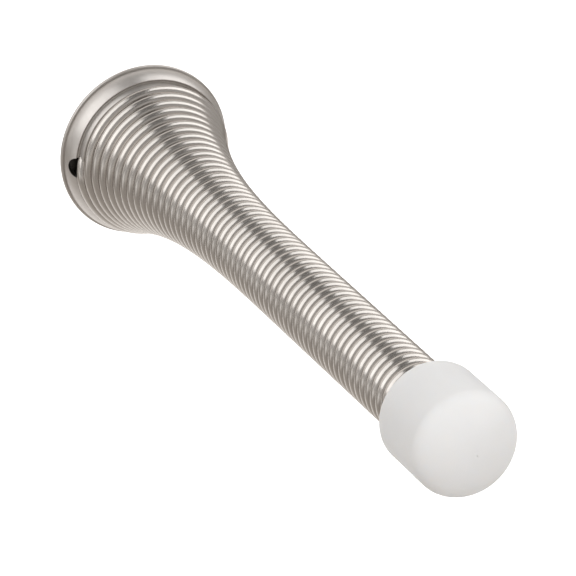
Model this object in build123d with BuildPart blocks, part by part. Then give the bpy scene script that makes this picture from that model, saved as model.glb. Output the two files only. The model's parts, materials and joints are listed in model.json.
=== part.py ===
"""Spring door stop: a flexible close-wound spring on a domed wall flange, with a soft tip.

Millimetres. +Z is up. The wall is the plane y = 0 and the stop sticks out along -Y.
The origin is where the screw's axis crosses the wall.
"reach" below always means the distance out from the wall, so y = -reach.
"""
from build123d import *
from math import asin, cos, radians, sin, sqrt
import os

os.makedirs("parts", exist_ok=True)

# ---------------------------------------------------------------- driving dimensions
overall_reach = 82.1          # wall to the front of the tip

flange_radius = 9.5
flange_sheet = 0.6            # thickness of the stamped sheet
lip_height = 0.5              # straight edge that stands on the wall
lip_width = 0.25              # flat step between the edge and the dome
lip_round = 0.2               # rounding of the edge that stands on the wall
shoulder_radius = 8.05        # where the dome ends and the spring's seat begins
shoulder_reach = 3.05
dome_middle = 0.6             # share of the dome's rise at the point that its arc is drawn through
hub_foot_radius = 6.7
hub_top_radius = 5.9
hub_reach = 4.6
seat_top_radius = 7.8         # the winding's helical seat: outer edge of its flat top
seat_foot_radius = 7.9        # where its outer slope ends
seat_foot_drop = 0.75         # height of that slope
seat_inner_radius = 6.2
seat_depth = 1.15
seat_gap_turns = 0.02         # from the notch to either end of the seat
valley_radius = 8.32          # narrow valley pressed between the dome and the seat
valley_reach = 2.2            # its lowest line
valley_floor_half = 0.1       # half the width of its rounded floor
valley_floor_rise = 0.08
valley_outer_radius = 8.62    # top of its wall on the dome's side
valley_outer_reach = 2.62
valley_inner_radius = 7.98    # top of its wall on the seat's side
valley_inner_reach = 2.9
disc_reach = 0.1              # washer inside the flange, clear of the wall
disc_thickness = 0.4
notch_radius = 1.1            # round opening that the wire passes through
notch_centre_radius = 8.45
notch_centre_reach = 2.6
notch_lean = 60               # degrees that its axis leans out from the wall
notch_half_depth = 1.9
notch_angle = 180             # degrees from +X towards +Z
screw_hole_radius = 1.95

wire_diameter = 1.18
wire_pitch = 1.20             # along the slant of the winding, so the turns all but touch
start_reach = 2.92            # wire centre where it comes out of the notch
start_radius = 8.13           # winding radius there
narrow_radius = 3.48          # winding radius of the straight part, before its slight taper
narrow_taper = 0.0025         # loss of radius per millimetre of reach
flare_length = 40.8
flare_power = 3.73
end_reach = 76.6              # wire end, inside the tip
tail_turns = 0.16             # part turn behind the flange
tail_drop = 0.85              # how much nearer the wall the hidden tail lies
tail_inset = 0.6              # how much nearer the axis it lies
tuck_start_turn = 0.03        # the wire begins to dip towards the notch here
tuck_turns = 0.08             # over which it goes from the top of the sheet to behind it
points_per_turn = 12
slope_step = 0.05             # reach either side of a point over which the flare's slope is taken
channel_clearance = 0.06      # of the groove that the first turn beds into
groove_turns = 1.3

first_bend_reach = 15.0       # the spring bends in eight places, up-down and sideways in turn
bend_spacing = 7.2
bend_count = 8
cut_gap = 0.02                # between one length of wire and the next

tip_radius = 5.35
tip_back_reach = 71.5
tip_dome_height = 3.1
tip_back_round = 0.9
tip_mouth_chamfer = 0.35
socket_clearance = 0.05
socket_reach = 77.3

screw_radius = 1.75
screw_neck_radius = 1.55
screw_root_radius = 1.2
screw_plain_depth = 5.0       # plain shank behind the wall plane
screw_depth = 15.5            # point of the screw behind the wall plane
screw_point_length = 2.8
shank_taper_length = 0.5      # from the plain shank down to the thread's root
thread_pitch = 1.4
thread_start_gap = 0.25       # from the end of the plain shank to the thread
thread_base = 0.36            # half the thread's width at its root, as a share of its pitch
thread_land = 0.12            # half its width at the crest
thread_overlap = 0.15         # how far the thread's section reaches into the shank
screw_head_radius = 3.3
screw_head_edge = 0.5
screw_head_height = 2.1
cross_arm = 1.9
cross_width = 0.7
cross_depth = 1.35
cross_taper = 8               # degrees


# ---------------------------------------------------------------- the winding
def winding_radius(run):
    """Radius of the wire's centre line, run millimetres out from where the wire leaves the notch."""
    straight = narrow_radius - narrow_taper * run
    flare = start_radius - narrow_radius
    if run < flare_length:
        straight += flare * max(0.0, 1 - run / flare_length) ** flare_power
    return straight


def tuck(turn):
    """0 where the wire lies on the flange, 1 where it is behind the sheet, and smooth in between."""
    part = min(max((tuck_start_turn - turn) / tuck_turns, 0.0), 1.0)
    return part * part * (3 - 2 * part)


def winding_points():
    """Centre line of the whole wire: a list of (turn, reach, x, z), a right-hand helix towards -Y."""
    points = []
    turn = -tail_turns
    reach = start_reach - tail_turns * wire_pitch
    while reach <= end_reach:
        run = reach - start_reach
        radius = winding_radius(run) - tail_inset * tuck(turn)
        angle = radians(notch_angle + 360 * turn)
        points.append((turn, reach - tail_drop * tuck(turn), radius * cos(angle), radius * sin(angle)))
        slope = (winding_radius(run + slope_step) - winding_radius(run - slope_step)) / (2 * slope_step)
        reach += wire_pitch / sqrt(1 + slope * slope) / points_per_turn
        turn += 1 / points_per_turn
    return points


def on_axis(reach):
    """The plane across the stop at this reach, facing out from the wall."""
    return Plane(origin=(0, -reach, 0), x_dir=(1, 0, 0), z_dir=(0, -1, 0))


def save(piece, label):
    piece.part.label = label
    export_step(piece.part, f"parts/{label}.step")
    print(label, round(piece.part.volume, 2))


axis_out = Axis((0, 0, 0), (0, -1, 0))
half_plane = Plane.XY         # a profile's x is the radius, its y is minus the reach
winding = winding_points()


def wire_between(first_turn, last_turn, diameter):
    """A round wire along the winding from one turn number to another, a hair short at its far end."""
    centre_line = Spline(*[(x, -reach, z) for turn, reach, x, z in winding
                           if first_turn <= turn <= last_turn])
    path = centre_line.trim(0, 1 - cut_gap / centre_line.length)
    with BuildPart() as wire:
        with BuildSketch(Plane(origin=path @ 0, z_dir=path % 0)):
            Circle(diameter / 2)
        sweep(path=path, is_frenet=True)
    return wire


# ---------------------------------------------------------------- base flange
dome_start = flange_radius - lip_width
dome_rise = shoulder_reach - lip_height
dome_run = dome_start - shoulder_radius
dome_radius = (dome_run ** 2 + dome_rise ** 2) / (2 * dome_run)
dome_centre = dome_start - dome_radius


def dome_point(radius, height):
    """Point of an arc round the dome's centre, at this height above the lip."""
    return (dome_centre + sqrt(radius ** 2 - height ** 2), -(lip_height + height))


# helical seat under the first turn, made from the -Z side and turned to the notch
seat_made_angle = 270                   # degrees from +X towards +Z
seat_start = start_reach - wire_diameter / 2 - channel_clearance
seat_pitch = wire_pitch * 0.94          # reach gained by one turn at the wide end
seat_reach = seat_start + seat_gap_turns * seat_pitch
with BuildPart() as seat:
    with BuildLine():
        seat_path = Helix(pitch=seat_pitch, height=seat_pitch * (1 - 2 * seat_gap_turns),
                          radius=seat_top_radius, center=(0, -seat_reach, 0), direction=(0, -1, 0))
    with BuildSketch(Plane(origin=seat_path @ 0, x_dir=(0, 0, -1), z_dir=seat_path % 0)):
        inward = seat_inner_radius - seat_top_radius
        outward = seat_foot_radius - seat_top_radius
        Polygon((inward, 0), (0, 0), (outward, seat_foot_drop), (inward, seat_depth), align=None)
    sweep(path=seat_path, is_frenet=True)

# groove that the first turn and the wire's hidden end bed into
groove = wire_between(-tail_turns, groove_turns, wire_diameter + 2 * channel_clearance)

with BuildPart() as base_flange:
    # outer form, solid down to the wall
    with BuildSketch(half_plane):
        with BuildLine():
            Polyline((0, 0), (0, -hub_reach), (hub_top_radius, -hub_reach),
                     (hub_foot_radius, -shoulder_reach), (shoulder_radius, -shoulder_reach))
            ThreePointArc((shoulder_radius, -shoulder_reach),
                          dome_point(dome_radius, dome_rise * dome_middle), (dome_start, -lip_height))
            Polyline((dome_start, -lip_height), (flange_radius, -lip_height), (flange_radius, 0), (0, 0))
        make_face()
    revolve(axis=Axis.Y)
    fillet(base_flange.edges().filter_by(GeomType.CIRCLE).group_by(Axis.Y)[-1], radius=lip_round)
    # valley round the foot of the seat
    with BuildSketch(half_plane):
        with BuildLine():
            floor_outer = (valley_radius + valley_floor_half, -(valley_reach + valley_floor_rise))
            floor_inner = (valley_radius - valley_floor_half, -(valley_reach + valley_floor_rise))
            ThreePointArc(floor_outer, (valley_radius, -valley_reach), floor_inner)
            Polyline(floor_inner, (valley_inner_radius, -valley_inner_reach),
                     (valley_inner_radius, -hub_reach), (valley_outer_radius, -hub_reach),
                     (valley_outer_radius, -valley_outer_reach), floor_outer)
        make_face()
    revolve(axis=Axis.Y, mode=Mode.SUBTRACT)
    add(seat.part.rotate(axis_out, notch_angle + 360 * seat_gap_turns - seat_made_angle))
    # hollow it from the wall side, one sheet thickness inside the outer form
    with BuildSketch(half_plane):
        with BuildLine():
            inner_radius = dome_radius - flange_sheet
            inner_rise = dome_rise - flange_sheet
            inner_edge = dome_start - flange_sheet
            inner_shoulder = dome_point(inner_radius, inner_rise)
            Polyline((0, 0), (0, -(hub_reach - flange_sheet)),
                     (hub_top_radius - flange_sheet, -(hub_reach - flange_sheet)),
                     (hub_foot_radius - flange_sheet, -(shoulder_reach - flange_sheet)), inner_shoulder)
            ThreePointArc(inner_shoulder, dome_point(inner_radius, inner_rise * dome_middle),
                          (inner_edge, -lip_height))
            Polyline((inner_edge, -lip_height), (inner_edge, 0), (0, 0))
        make_face()
    revolve(axis=Axis.Y, mode=Mode.SUBTRACT)
    # the wire's groove, the notch that it comes out of, and the screw hole
    add(groove.part, mode=Mode.SUBTRACT)
    notch_turn = radians(notch_angle)
    lean = radians(notch_lean)
    notch_place = (notch_centre_radius * cos(notch_turn), -notch_centre_reach,
                   notch_centre_radius * sin(notch_turn))
    notch_way = (cos(lean) * cos(notch_turn), -sin(lean), cos(lean) * sin(notch_turn))
    with BuildSketch(Plane(origin=notch_place, z_dir=notch_way)):
        Circle(notch_radius)
    extrude(amount=notch_half_depth, both=True, mode=Mode.SUBTRACT)
    with BuildSketch(on_axis(0)):
        Circle(screw_hole_radius)
    extrude(amount=hub_reach + flange_sheet, mode=Mode.SUBTRACT)

save(base_flange, "base_flange")

# ---------------------------------------------------------------- washer that closes the flange's back
with BuildPart() as back_disc:
    with BuildSketch(on_axis(disc_reach)):
        Circle(dome_start - flange_sheet)
        Circle(screw_hole_radius, mode=Mode.SUBTRACT)
    extrude(amount=disc_thickness)

save(back_disc, "back_disc")

# ---------------------------------------------------------------- spring, in lengths that bend on each other
bend_reaches = [first_bend_reach + bend_spacing * index for index in range(bend_count)]
cuts = [next(turn for turn, reach, x, z in winding if reach >= bend) for bend in bend_reaches]
edges = [-tail_turns] + cuts + [winding[-1][0]]
for number in range(len(edges) - 1):
    length = wire_between(edges[number], edges[number + 1], wire_diameter)
    save(length, f"spring_length_{number + 1}")

# ---------------------------------------------------------------- soft tip
socket_radius = winding_radius(tip_back_reach - start_reach) + wire_diameter / 2 + socket_clearance
dome_base_reach = overall_reach - tip_dome_height

with BuildPart() as tip_cap:
    with BuildSketch(half_plane):
        with BuildLine():
            Polyline((0, -socket_reach), (socket_radius, -socket_reach), (socket_radius, -tip_back_reach),
                     (tip_radius, -tip_back_reach), (tip_radius, -dome_base_reach))
            EllipticalCenterArc((0, -dome_base_reach), tip_radius, tip_dome_height,
                                start_angle=270, arc_size=90)
            Line((0, -overall_reach), (0, -socket_reach))
        make_face()
    revolve(axis=Axis.Y)
    back_edges = tip_cap.edges().filter_by(GeomType.CIRCLE).group_by(Axis.Y)[-1].sort_by(SortBy.RADIUS)
    fillet(back_edges[-1], radius=tip_back_round)
    mouth = tip_cap.edges().filter_by(GeomType.CIRCLE).group_by(Axis.Y)[-1].sort_by(SortBy.RADIUS)
    chamfer(mouth[0], length=tip_mouth_chamfer)

save(tip_cap, "tip_cap")

# ---------------------------------------------------------------- wood screw
head_reach = hub_reach + screw_head_height
head_rise = screw_head_height - screw_head_edge
head_sphere = (screw_head_radius ** 2 + head_rise ** 2) / (2 * head_rise)
head_half_angle = asin(screw_head_radius / head_sphere) / 2
with BuildPart() as wood_screw:
    with BuildSketch(half_plane):
        with BuildLine():
            Polyline((0, screw_depth), (screw_root_radius, screw_depth - screw_point_length),
                     (screw_root_radius, screw_plain_depth + shank_taper_length),
                     (screw_radius, screw_plain_depth), (screw_radius, 0),
                     (screw_neck_radius, 0), (screw_neck_radius, -hub_reach),
                     (screw_head_radius, -hub_reach), (screw_head_radius, -hub_reach - screw_head_edge))
            ThreePointArc((screw_head_radius, -hub_reach - screw_head_edge),
                          (head_sphere * sin(head_half_angle),
                           -head_reach + head_sphere * (1 - cos(head_half_angle))),
                          (0, -head_reach))
            Line((0, -head_reach), (0, screw_depth))
        make_face()
    revolve(axis=Axis.Y)
    with BuildLine():
        thread_start = screw_plain_depth + thread_start_gap
        thread_path = Helix(pitch=thread_pitch, height=screw_depth - screw_point_length - thread_start,
                            radius=screw_root_radius, center=(0, thread_start, 0), direction=(0, 1, 0))
    with BuildSketch(Plane(origin=thread_path @ 0, x_dir=Vector((thread_path @ 0).X, 0, (thread_path @ 0).Z),
                           z_dir=thread_path % 0)):
        crest = screw_radius - screw_root_radius
        half_base = thread_pitch * thread_base
        Polygon((-thread_overlap, half_base), (crest, thread_land), (crest, -thread_land),
                (-thread_overlap, -half_base), align=None)
    sweep(path=thread_path, is_frenet=True)
    with BuildSketch(on_axis(head_reach)):
        Rectangle(2 * cross_arm, cross_width)
        Rectangle(cross_width, 2 * cross_arm)
    extrude(amount=-cross_depth, mode=Mode.SUBTRACT, taper=cross_taper)

save(wood_screw, "wood_screw")
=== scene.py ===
"""Looks of the spring door stop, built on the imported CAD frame.

Metres, in the CAD's frame: +Z is up, the wall is the plane y = 0 and the stop sticks out along -Y.
"reach" means the distance out from the wall, so y = -reach. Angles round the stop go from +X towards +Z.
"""
import json
import math

import bpy
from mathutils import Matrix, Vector


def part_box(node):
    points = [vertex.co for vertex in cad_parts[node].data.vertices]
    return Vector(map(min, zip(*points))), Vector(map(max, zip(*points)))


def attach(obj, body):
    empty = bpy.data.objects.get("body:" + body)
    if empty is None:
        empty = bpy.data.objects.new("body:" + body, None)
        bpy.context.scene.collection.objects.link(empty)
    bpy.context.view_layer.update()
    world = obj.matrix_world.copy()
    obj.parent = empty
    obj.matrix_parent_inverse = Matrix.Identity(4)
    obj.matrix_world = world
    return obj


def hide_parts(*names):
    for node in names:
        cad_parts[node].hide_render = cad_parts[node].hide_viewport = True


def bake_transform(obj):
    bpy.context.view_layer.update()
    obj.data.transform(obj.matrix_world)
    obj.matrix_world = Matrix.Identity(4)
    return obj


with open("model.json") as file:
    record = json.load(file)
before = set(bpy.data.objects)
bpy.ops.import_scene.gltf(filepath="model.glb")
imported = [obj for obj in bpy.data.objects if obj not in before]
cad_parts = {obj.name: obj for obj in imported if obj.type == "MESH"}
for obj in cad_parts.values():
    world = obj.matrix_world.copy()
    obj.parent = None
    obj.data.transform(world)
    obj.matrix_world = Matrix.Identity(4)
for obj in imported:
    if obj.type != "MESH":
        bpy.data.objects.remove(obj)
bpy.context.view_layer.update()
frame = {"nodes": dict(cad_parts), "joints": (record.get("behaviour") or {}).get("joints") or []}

MM = 0.001

# ---------------------------------------------------------------- sizes, from the frame
flange_low, flange_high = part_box("base_flange")
flange_radius = flange_high.x
hub_reach = -flange_low.y
tip_low, tip_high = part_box("tip_cap")
tip_radius = tip_high.x
tip_back_reach = -tip_high.y
overall_reach = -tip_low.y

# flange, as the CAD has it
sheet = 0.6 * MM
lip_height = 0.5 * MM
lip_width = 0.25 * MM
lip_round = 0.2 * MM
shoulder_radius = 8.05 * MM
shoulder_reach = 3.05 * MM
hub_foot_radius = 6.7 * MM
hub_top_radius = 5.9 * MM
screw_hole_radius = 1.95 * MM
seat_top_radius = 7.8 * MM
seat_foot_radius = 7.9 * MM
seat_foot_drop = 0.75 * MM
seat_gap_turns = 0.02
seat_crease = 0.05 * MM
notch_radius = 1.1 * MM
notch_centre_radius = 8.45 * MM
notch_centre_reach = 2.6 * MM
notch_lean = math.radians(60)
notch_half_depth = 1.9 * MM
notch_angle = math.pi

# narrow valley pressed round the foot of the spring's seat, smoother and shallower than the CAD's
valley_radius = 8.32 * MM
valley_half_width = 0.33 * MM
valley_depth = 0.5 * MM

# winding, as the CAD has it
wire_radius = 0.59 * MM
wire_pitch = 1.20 * MM
start_reach = 2.92 * MM
start_radius = 8.13 * MM
narrow_radius = 3.48 * MM
narrow_taper = 0.0025
flare_length = 40.8 * MM
flare_power = 3.73
end_reach = 76.6 * MM
tail_turns = 0.16
tail_drop = 0.85 * MM
tail_inset = 0.6 * MM
tuck_start_turn = 0.03
tuck_turns = 0.08
slope_step = 0.05 * MM
seat_clearance = 0.06 * MM
seat_start = start_reach - wire_radius - seat_clearance
seat_pitch = wire_pitch * 0.94

# tip
tip_dome_height = 3.1 * MM
tip_back_round = 0.9 * MM
tip_mouth_chamfer = 0.35 * MM
socket_reach = 77.3 * MM
socket_clearance = 0.05 * MM
pinhole_radius = 0.05 * MM
pinhole_angle = 89.5

# mesh fineness
points_per_turn = 60
points_round_wire = 18
columns_round_flange = 540
columns_round_tip = 192
columns_round_notch = 40
crease_angle = math.radians(40)


# ---------------------------------------------------------------- mesh helpers
def make_piece(name, points, faces, material):
    """A smooth-shaded mesh object, sharp only where its faces meet at more than crease_angle."""
    mesh = bpy.data.meshes.new(name)
    mesh.from_pydata(points, [], faces)
    mesh.update()
    mesh.shade_smooth()
    mesh.set_sharp_from_angle(angle=crease_angle)
    mesh.materials.append(material)
    piece = bpy.data.objects.new(name, mesh)
    bpy.context.scene.collection.objects.link(piece)
    return piece


def on_ring(radius, reach, angle):
    """The point this far from the axis and from the wall, at this angle round the stop."""
    return (radius * math.cos(angle), -reach, radius * math.sin(angle))


def turned(name, section_at, columns, material):
    """A closed ring from its closed section: section_at(angle) gives (radius, reach) points."""
    points = []
    for column in range(columns):
        angle = 2 * math.pi * column / columns
        points += [on_ring(radius, reach, angle) for radius, reach in section_at(angle)]
    rows = len(points) // columns
    faces = []
    for column in range(columns):
        here = column * rows
        there = (column + 1) % columns * rows
        for row in range(rows):
            step = (row + 1) % rows
            faces.append((here + row, here + step, there + step, there + row))
    return make_piece(name, points, faces, material)


def arc(centre_radius, centre_reach, radius_size, reach_size, first, last, steps):
    """Points of an ellipse's arc in a section, from one angle to another in degrees."""
    points = []
    for step in range(steps + 1):
        angle = math.radians(first + (last - first) * step / steps)
        points.append((centre_radius + radius_size * math.cos(angle),
                       centre_reach + reach_size * math.sin(angle)))
    return points


def line(start, end, steps):
    """Points from start up to, but not including, end."""
    return [tuple(a + (b - a) * step / steps for a, b in zip(start, end)) for step in range(steps)]


# ---------------------------------------------------------------- material helpers
class Nodes:
    """A new node material with a Principled shader, and short ways to add to it."""

    def __init__(self, name):
        self.material = bpy.data.materials.new(name)
        self.material.use_nodes = True
        self.tree = self.material.node_tree
        self.shader = self.tree.nodes["Principled BSDF"]

    def add(self, kind, **values):
        """A node with these properties and input values."""
        node = self.tree.nodes.new(kind)
        for key, value in values.items():
            if key in node.inputs.keys():
                node.inputs[key].default_value = value
            else:
                setattr(node, key, value)
        return node

    def link(self, source, target):
        """Joins an output socket to an input socket."""
        self.tree.links.new(source, target)

    def place(self):
        """Position on the object, in metres."""
        return self.add("ShaderNodeTexCoord").outputs["Object"]

    def noise(self, vector, scale, detail=3.0, roughness=0.5):
        """Noise from 0 to 1, with this many bumps to the vector's unit."""
        node = self.add("ShaderNodeTexNoise", Scale=scale, Detail=detail, Roughness=roughness)
        self.link(vector, node.inputs["Vector"])
        return node.outputs["Fac"]

    def stretched(self, vector, scale):
        """The vector with each of its parts multiplied by its own scale."""
        node = self.add("ShaderNodeMapping")
        node.inputs["Scale"].default_value = scale
        self.link(vector, node.inputs["Vector"])
        return node.outputs["Vector"]

    def between(self, factor, low, high, first=0.3, last=0.7):
        """factor from first to last, remapped to the range low to high."""
        node = self.add("ShaderNodeMapRange")
        for key, value in (("From Min", first), ("From Max", last), ("To Min", low), ("To Max", high)):
            node.inputs[key].default_value = value
        self.link(factor, node.inputs["Value"])
        return node.outputs["Result"]

    def colours(self, factor, *stops):
        """A colour ramp with (position, colour) stops."""
        node = self.add("ShaderNodeValToRGB")
        elements = node.color_ramp.elements
        while len(elements) < len(stops):
            elements.new(0.5)
        for element, (position, colour) in zip(elements, stops):
            element.position = position
            element.color = (*colour, 1)
        self.link(factor, node.inputs["Fac"])
        return node.outputs["Color"]

    def bump(self, height, strength, distance):
        """Tilts the shader's surface as if it rose by distance where height is 1."""
        node = self.add("ShaderNodeBump", Strength=strength, Distance=distance)
        self.link(height, node.inputs["Height"])
        self.link(node.outputs["Normal"], self.shader.inputs["Normal"])

    def finish(self, factors, dark, light, smooth, rough):
        """Base colour from dark to light by one factor, roughness from smooth to rough by another."""
        tint, grain = factors
        self.link(self.colours(tint, (0.3, dark), (0.7, light)), self.shader.inputs["Base Color"])
        self.link(self.between(grain, smooth, rough), self.shader.inputs["Roughness"])


def nickel(name, dark, light, roughness, drawn):
    """Satin nickel plate. A drawn wire's grain runs along it, and a pressed sheet's is even."""
    nodes = Nodes(name)
    place = nodes.place()
    if drawn:
        along_wire = nodes.add("ShaderNodeUVMap", uv_map="wire").outputs["UV"]
        grain_place = nodes.stretched(along_wire, (0.8, 16, 1))
        depth = 0.12
    else:
        grain_place = nodes.stretched(place, (2600, 2600, 2600))
        depth = 0.03
    grain = nodes.noise(grain_place, 1.0, detail=4.0, roughness=0.6)
    clouds = nodes.noise(place, 260.0, detail=4.0, roughness=0.55)
    nodes.finish((clouds, grain), dark, light, roughness - 0.04, roughness + 0.05)
    nodes.bump(grain, depth, 0.004 * MM)
    nodes.shader.inputs["Metallic"].default_value = 1.0
    nodes.shader.inputs["Specular Tint"].default_value = (0.72, 0.70, 0.68, 1)
    return nodes.material


def zinc():
    """Bright zinc plate with the faint crystal mottling of a plated screw."""
    nodes = Nodes("zinc_plate")
    mottle = nodes.noise(nodes.place(), 1500.0, detail=5.0, roughness=0.65)
    nodes.finish((mottle, mottle), (0.50, 0.50, 0.49), (0.66, 0.66, 0.64), 0.26, 0.42)
    nodes.bump(mottle, 0.35, 0.02 * MM)
    nodes.shader.inputs["Metallic"].default_value = 1.0
    return nodes.material


def soft_rubber():
    """Matte off-white rubber: a trace of mould texture and slightly uneven sheen."""
    nodes = Nodes("soft_rubber")
    place = nodes.place()
    clouds = nodes.noise(place, 150.0)
    pores = nodes.noise(place, 5200.0, roughness=0.6)
    nodes.finish((clouds, pores), (0.705, 0.707, 0.71), (0.735, 0.738, 0.742), 0.42, 0.56)
    nodes.bump(pores, 0.3, 0.012 * MM)
    shader = nodes.shader
    shader.inputs["Subsurface Weight"].default_value = 0.6
    shader.inputs["Subsurface Radius"].default_value = (1.0, 0.9, 0.8)
    shader.inputs["Subsurface Scale"].default_value = 2.0 * MM
    shader.inputs["Specular IOR Level"].default_value = 0.35
    return nodes.material


def black_disc_painted_shade():
    """Matte black moulded plastic, a little scuffed. On the disc behind the notch its black is painted
    shade for what shows through the hole.
    """
    nodes = Nodes("black_disc_painted_shade")
    place = nodes.stretched(nodes.place(), (900, 900, 900))
    scuffs = nodes.noise(place, 1.0, detail=5.0, roughness=0.6)
    nodes.finish((scuffs, scuffs), (0.045, 0.040, 0.036), (0.07, 0.063, 0.057), 0.42, 0.62)
    nodes.bump(scuffs, 0.3, 0.02 * MM)
    return nodes.material


flange_finish = nickel("nickel_sheet", (0.585, 0.555, 0.53), (0.625, 0.60, 0.575), 0.38, drawn=False)
wire_finish = nickel("nickel_wire", (0.56, 0.53, 0.50), (0.62, 0.59, 0.56), 0.215, drawn=True)
screw_finish = zinc()
disc_painted_shade_finish = black_disc_painted_shade()
tip_finish = soft_rubber()


# ---------------------------------------------------------------- spring
def winding_radius(run):
    """Radius of the wire's centre line, run metres out from where the wire leaves the notch."""
    straight = narrow_radius - narrow_taper * run
    if run < flare_length:
        straight += (start_radius - narrow_radius) * (1 - run / flare_length) ** flare_power
    return straight


def tuck(turn):
    """0 where the wire lies on the flange, 1 where it is behind the sheet, and smooth in between."""
    part = min(max((tuck_start_turn - turn) / tuck_turns, 0.0), 1.0)
    return part * part * (3 - 2 * part)


def winding():
    """Points of the wire's centre line, a right-hand helix towards -Y."""
    points = []
    turn = -tail_turns
    reach = start_reach - tail_turns * wire_pitch
    while reach <= end_reach:
        run = reach - start_reach
        radius = winding_radius(run) - tail_inset * tuck(turn)
        angle = notch_angle + 2 * math.pi * turn
        points.append(Vector(on_ring(radius, reach - tail_drop * tuck(turn), angle)))
        slope = (winding_radius(run + slope_step) - winding_radius(run - slope_step)) / (2 * slope_step)
        reach += wire_pitch / math.sqrt(1 + slope * slope) / points_per_turn
        turn += 1 / points_per_turn
    return points


def wire_points(line_points, first, last):
    """Rings of points round line_points[first..last], each square to the wire."""
    points = []
    for index in range(first, last + 1):
        centre = line_points[index]
        before = line_points[max(index - 1, 0)]
        after = line_points[min(index + 1, len(line_points) - 1)]
        along = (after - before).normalized()
        outward = Vector((centre.x, 0, centre.z))
        outward = (outward - along * outward.dot(along)).normalized()
        across = along.cross(outward)
        for step in range(points_round_wire):
            angle = 2 * math.pi * step / points_round_wire
            points.append(centre + wire_radius * (math.cos(angle) * outward + math.sin(angle) * across))
    return points


def wire_piece(name, line_points, first, last, material):
    """Round wire along line_points[first..last], closed at both ends, with its length as a UV map."""
    faces = []
    rings = last - first
    for ring in range(rings):
        here = ring * points_round_wire
        there = here + points_round_wire
        for step in range(points_round_wire):
            turn = (step + 1) % points_round_wire
            faces.append((here + step, here + turn, there + turn, there + step))
    faces.append(tuple(reversed(range(points_round_wire))))
    faces.append(tuple(range(rings * points_round_wire, (rings + 1) * points_round_wire)))
    piece = make_piece(name, wire_points(line_points, first, last), faces, material)
    map_wire(piece.data, first)
    return piece


def map_wire(mesh, first):
    """UV map of a wire's mesh: millimetres along the wire, and 0 to 1 round it."""
    layer = mesh.uv_layers.new(name="wire")
    length_per_ring = 2 * math.pi * narrow_radius / points_per_turn / MM
    for polygon in mesh.polygons:
        # the last column of quads closes the ring, so its far side is at 1 and not at 0
        closing = len(polygon.vertices) == 4 and polygon.vertices[1] % points_round_wire != 1
        for corner, vertex in zip(polygon.loop_indices, polygon.vertices):
            ring, step = divmod(vertex, points_round_wire)
            if step == 0 and closing:
                step = points_round_wire
            layer.data[corner].uv = ((first + ring) * length_per_ring, step / points_round_wire)


def build_spring():
    """The wire in as many pieces as the spring has bends, cut midway between the hinges."""
    line_points = winding()
    hinges = [joint for joint in frame["joints"] if joint["name"].startswith("flex_")]
    reaches = [-joint["pos_m"][1] for joint in hinges]
    half = (reaches[1] - reaches[0]) / 2
    first = 0
    for number, (joint, reach) in enumerate(zip(hinges, reaches)):
        last = len(line_points) - 1
        if number < len(hinges) - 1:
            last = next(i for i, point in enumerate(line_points) if -point.y >= reach + half)
        piece = wire_piece(f"spring_wire_{number + 1}", line_points, first, last, wire_finish)
        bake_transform(piece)
        replaced = [f"spring_length_{number + 2}"]
        if number == 0:
            replaced.append("spring_length_1")
        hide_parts(*replaced)
        first = last


# ---------------------------------------------------------------- flange
dome_start = flange_radius - lip_width
dome_rise = shoulder_reach - lip_height
dome_run = dome_start - shoulder_radius
dome_size = (dome_run ** 2 + dome_rise ** 2) / (2 * dome_run)
dome_centre = dome_start - dome_size


def soft_max(a, b, blend):
    """The greater of two heights, with the crease between them rounded over about this much."""
    share = min(max(0.5 + (a - b) / (2 * blend), 0.0), 1.0)
    return b + (a - b) * share + blend * share * (1 - share)


def seat_height(radius, turn):
    """Reach of the helical seat under the spring's first turn, at this radius and turn number."""
    if turn < seat_gap_turns or turn > 1 - seat_gap_turns:
        return 0.0
    height = seat_start + seat_pitch * turn
    slope = seat_foot_drop / (seat_foot_radius - seat_top_radius)
    return height - max(radius - seat_top_radius, 0.0) * slope


def valley(radius):
    """How far the sheet dips at this radius, in the valley between the dome and the seat."""
    part = max(1 - abs(radius - valley_radius) / valley_half_width, 0.0)
    return valley_depth * part * part * (3 - 2 * part)


def rim_section():
    """The rolled lip's outside, from the wall to the foot of the dome."""
    half = lip_width / 2
    rim = arc(flange_radius - lip_round, lip_round, lip_round, lip_round, -90, 0, 6)
    return rim + arc(flange_radius - half, lip_height - half, half, half, 0, 90, 5)


def outside_section(angle):
    """The sheet's outer face over the dome, the valley and the seat, at this angle round the stop."""
    turn = (angle - notch_angle) / (2 * math.pi) % 1.0
    top_angle = math.degrees(math.asin(dome_rise / dome_size))
    outside = arc(dome_centre, lip_height, dome_size, dome_size, 0, top_angle, 72)
    outside += line((shoulder_radius, shoulder_reach), (hub_foot_radius, shoulder_reach), 16)[1:]
    return [(radius, soft_max(reach - valley(radius), seat_height(radius, turn), seat_crease))
            for radius, reach in outside]


def hub_section(foot_reach):
    """The raised inner cone's outer face, from its foot up to the screw hole."""
    hub = line((hub_foot_radius - seat_crease, foot_reach), (hub_top_radius, hub_reach), 8)
    return hub + line((hub_top_radius, hub_reach), (screw_hole_radius, hub_reach), 10)


def under_section():
    """The sheet's inner face, from the screw hole back to the wall."""
    under = line((screw_hole_radius, hub_reach), (screw_hole_radius, hub_reach - sheet), 2)
    under += line((screw_hole_radius, hub_reach - sheet), (hub_top_radius - sheet, hub_reach - sheet), 8)
    under += line((hub_top_radius - sheet, hub_reach - sheet),
                  (hub_foot_radius - sheet, shoulder_reach - sheet), 5)
    inner_size = dome_size - sheet
    inner_angle = math.degrees(math.asin((dome_rise - sheet) / inner_size))
    inner_dome = arc(dome_centre, lip_height, inner_size, inner_size, inner_angle, 0, 16)
    under += line((hub_foot_radius - sheet, shoulder_reach - sheet), inner_dome[0], 6) + inner_dome
    return under + [(dome_start - sheet, 0.0)]


def flange_section(angle):
    """Closed section of the pressed sheet, from the wall over the dome to the screw hole and back."""
    outside = outside_section(angle)
    hub = hub_section(max(shoulder_reach, outside[-1][1]))
    return rim_section() + outside + hub + under_section()


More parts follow.
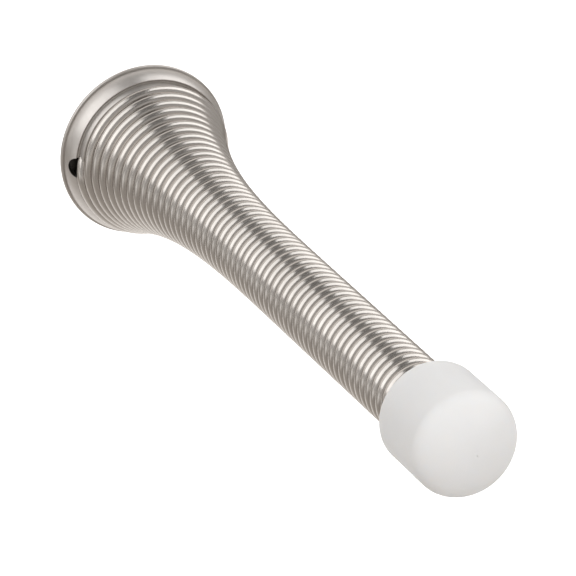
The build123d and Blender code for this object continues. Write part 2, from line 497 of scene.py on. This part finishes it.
def notch_cutter():
    """A round bar through the dome's sheet, where the wire comes out."""
    middle = Vector((-notch_centre_radius, -notch_centre_reach, 0))
    outward = Vector((-math.cos(notch_lean), -math.sin(notch_lean), 0))
    across = Vector((-outward.y, outward.x, 0))
    points = []
    steps = columns_round_notch
    for end in (-notch_half_depth, notch_half_depth):
        for step in range(steps):
            angle = 2 * math.pi * step / steps
            ring = math.cos(angle) * across + math.sin(angle) * Vector((0, 0, 1))
            points.append(middle + end * outward + notch_radius * ring)
    faces = [(step, (step + 1) % steps, steps + (step + 1) % steps, steps + step)
             for step in range(steps)]
    faces += [tuple(reversed(range(steps))), tuple(range(steps, 2 * steps))]
    return make_piece("notch_cutter", points, faces, flange_finish)


def build_flange():
    """The flange with the notch cut through its sheet."""
    flange = turned("flange_sheet", flange_section, columns_round_flange, flange_finish)
    cutter = notch_cutter()
    cut = flange.modifiers.new("notch", "BOOLEAN")
    cut.operation = "DIFFERENCE"
    cut.solver = "EXACT"
    cut.object = cutter
    bpy.context.view_layer.update()
    evaluated = flange.evaluated_get(bpy.context.evaluated_depsgraph_get())
    mesh = bpy.data.meshes.new_from_object(evaluated)
    flange.modifiers.clear()
    flange.data = mesh
    mesh.set_sharp_from_angle(angle=crease_angle)
    bpy.data.objects.remove(cutter)
    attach(flange, "base")
    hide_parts("base_flange")


# ---------------------------------------------------------------- tip
def tip_section(angle):
    """Closed section of the cap, the same at every angle: socket, mouth, side and domed front.

    It stops just short of the axis, so the mesh is one ring of quads with a pinhole down its middle.
    """
    socket_radius = winding_radius(tip_back_reach - start_reach) + wire_radius + socket_clearance
    dome_reach = overall_reach - tip_dome_height
    section = line((pinhole_radius, socket_reach), (socket_radius, socket_reach), 4)
    section += line((socket_radius, socket_reach),
                    (socket_radius, tip_back_reach + tip_mouth_chamfer), 6)
    section += arc(socket_radius + tip_mouth_chamfer, tip_back_reach + tip_mouth_chamfer,
                   tip_mouth_chamfer, tip_mouth_chamfer, 180, 270, 5)
    section += arc(tip_radius - tip_back_round, tip_back_reach + tip_back_round,
                   tip_back_round, tip_back_round, -90, 0, 12)
    section += line((tip_radius, tip_back_reach + tip_back_round), (tip_radius, dome_reach), 8)[1:]
    section += arc(0.0, dome_reach, tip_radius, tip_dome_height, 0, pinhole_angle, 40)
    return section


def build_tip():
    """The rubber cap over the spring's narrow end."""
    tip = turned("tip_cushion", tip_section, columns_round_tip, tip_finish)
    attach(tip, "tip")
    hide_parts("tip_cap")


def finish_cad_pieces():
    """The CAD's screw and washer keep their shape and take their finishes."""
    # the back disc takes the black finish: painted shade seen through the notch
    for name, material in (("wood_screw", screw_finish), ("back_disc", disc_painted_shade_finish)):
        mesh = frame["nodes"][name].data
        mesh.materials.clear()
        mesh.materials.append(material)


# ---------------------------------------------------------------- floor, light and camera
def build_floor():
    """A pale floor well below the stop. Its colour has a pool of light painted behind the stop and
    darkens to painted shade further out, and it has a painted glow in the pool and far out.
    """
    floor_drop = 0.12
    painted_pool_middle = (0.13, 0.23, 0)
    half_side = 1.6
    corners = [(-half_side, -half_side, 0), (half_side, -half_side, 0),
               (half_side, half_side, 0), (-half_side, half_side, 0)]
    nodes = Nodes("floor_painted_light")
    away = nodes.add("ShaderNodeVectorMath", operation="DISTANCE")
    nodes.link(nodes.place(), away.inputs[0])
    away.inputs[1].default_value = painted_pool_middle
    distance = away.outputs["Value"]
    # painted light: base colour brightest in a pool behind the stop, darkening to painted shade away
    # from it
    painted_light_pool = nodes.colours(distance, (0.16, (0.9, 0.9, 0.9)), (0.30, (0.44, 0.41, 0.38)),
                          (0.65, (0.24, 0.22, 0.20)))
    nodes.link(painted_light_pool, nodes.shader.inputs["Base Color"])
    nodes.shader.inputs["Roughness"].default_value = 0.9
    # painted glow: the floor emits light in the pool and far out, though it is no lamp
    share = nodes.between(distance, 0.0, 1.0, 0.0, half_side)
    painted_glow = nodes.colours(share, (0.10, (0.75, 0.75, 0.75)), (0.23, (0.0, 0.0, 0.0)),
                         (0.45, (0.03, 0.03, 0.03)), (0.70, (0.55, 0.54, 0.52)))
    nodes.link(painted_glow, nodes.shader.inputs["Emission Color"])
    nodes.shader.inputs["Emission Strength"].default_value = 1.0
    floor = make_piece("floor", corners, [(0, 1, 2, 3)], nodes.material)
    floor.location = (0, 0, -floor_drop)


def softbox(name, direction, distance, width, length, radiance):
    """A rectangular light facing the stop from this direction. Its length runs along Y where it can."""
    middle = Vector((0, -overall_reach / 2, 0))
    data = bpy.data.lights.new(name, "AREA")
    data.shape = "RECTANGLE"
    data.size = width
    data.size_y = length
    data.energy = radiance * math.pi * width * length
    light = bpy.data.objects.new(name, data)
    light.location = middle + distance * direction
    light.rotation_mode = "QUATERNION"
    light.rotation_quaternion = direction.to_track_quat("Z", "X")
    light.visible_camera = False
    bpy.context.scene.collection.objects.link(light)
    return light


def overhead(tilt):
    """Straight up, tilted this many degrees towards +X."""
    return Vector((math.sin(math.radians(tilt)), 0, math.cos(math.radians(tilt))))


def world_ramp(tree, source, *stops):
    """A colour ramp of the room's slightly warm light with (position, brightness) stops."""
    red, green, blue = (1.0, 0.965, 0.93)
    ramp = tree.nodes.new("ShaderNodeValToRGB")
    for element, (position, value) in zip(ramp.color_ramp.elements, stops):
        element.position = position
        element.color = (value * red, value * green, value * blue, 1)
    tree.links.new(source, ramp.inputs["Fac"])
    return ramp.outputs["Color"]


def build_softboxes():
    """Two with a narrow gap overhead, a small low one, and one in front that the metal doesn't show."""
    softbox("light_right", overhead(41), distance=0.7, width=0.74, length=0.62, radiance=1.4)
    softbox("light_left", overhead(-44.5), distance=0.7, width=0.80, length=0.86, radiance=1.28)
    softbox("light_low", overhead(-98), distance=0.35, width=0.14, length=0.2, radiance=0.42)
    ahead = Vector((0.0, -0.97, 0.25)).normalized()
    front = softbox("light_front", ahead, distance=0.75, width=0.5, length=0.5, radiance=4.2)
    front.visible_glossy = False


def build_room():
    """The room's own light: pale low down and behind the wall, and dimmer overhead."""
    world = bpy.data.worlds.new("studio")
    world.use_nodes = True
    tree = world.node_tree
    place = tree.nodes.new("ShaderNodeTexCoord")
    split = tree.nodes.new("ShaderNodeSeparateXYZ")
    tree.links.new(place.outputs["Generated"], split.inputs["Vector"])
    upward = world_ramp(tree, split.outputs["Z"], (0.5, 0.48), (0.85, 0.20))
    behind = world_ramp(tree, split.outputs["Y"], (0.32, 0.0), (0.76, 1.0))
    brighter = tree.nodes.new("ShaderNodeMix")
    brighter.data_type = "RGBA"
    brighter.blend_type = "LIGHTEN"
    brighter.inputs["Factor"].default_value = 1.0
    colours = [socket for socket in brighter.inputs if socket.type == "RGBA"]
    tree.links.new(upward, colours[0])
    tree.links.new(behind, colours[1])
    result = [socket for socket in brighter.outputs if socket.type == "RGBA"][0]
    tree.links.new(result, tree.nodes["Background"].inputs["Color"])
    bpy.context.scene.world = world


def build_camera():
    """A long lens from the front left, a little above: the photograph's viewing angle."""
    azimuth = math.radians(-23.6)
    elevation = math.radians(23.77)
    distance = 0.43
    aim = Vector((0.75 * MM, -37.2 * MM, -1.5 * MM))
    back = Vector((math.sin(azimuth) * math.cos(elevation),
                   -math.cos(azimuth) * math.cos(elevation), math.sin(elevation)))
    data = bpy.data.cameras.new("camera")
    data.sensor_width = 36
    data.lens = 268.4
    data.clip_start = 0.01
    camera = bpy.data.objects.new("camera", data)
    camera.location = aim + back * distance
    camera.rotation_mode = "QUATERNION"
    camera.rotation_quaternion = back.to_track_quat("Z", "Y")
    bpy.context.scene.collection.objects.link(camera)
    bpy.context.scene.camera = camera


build_spring()
build_flange()
build_tip()
finish_cad_pieces()
build_floor()
build_softboxes()
build_room()
build_camera()
bpy.context.scene.view_settings.view_transform = "Standard"
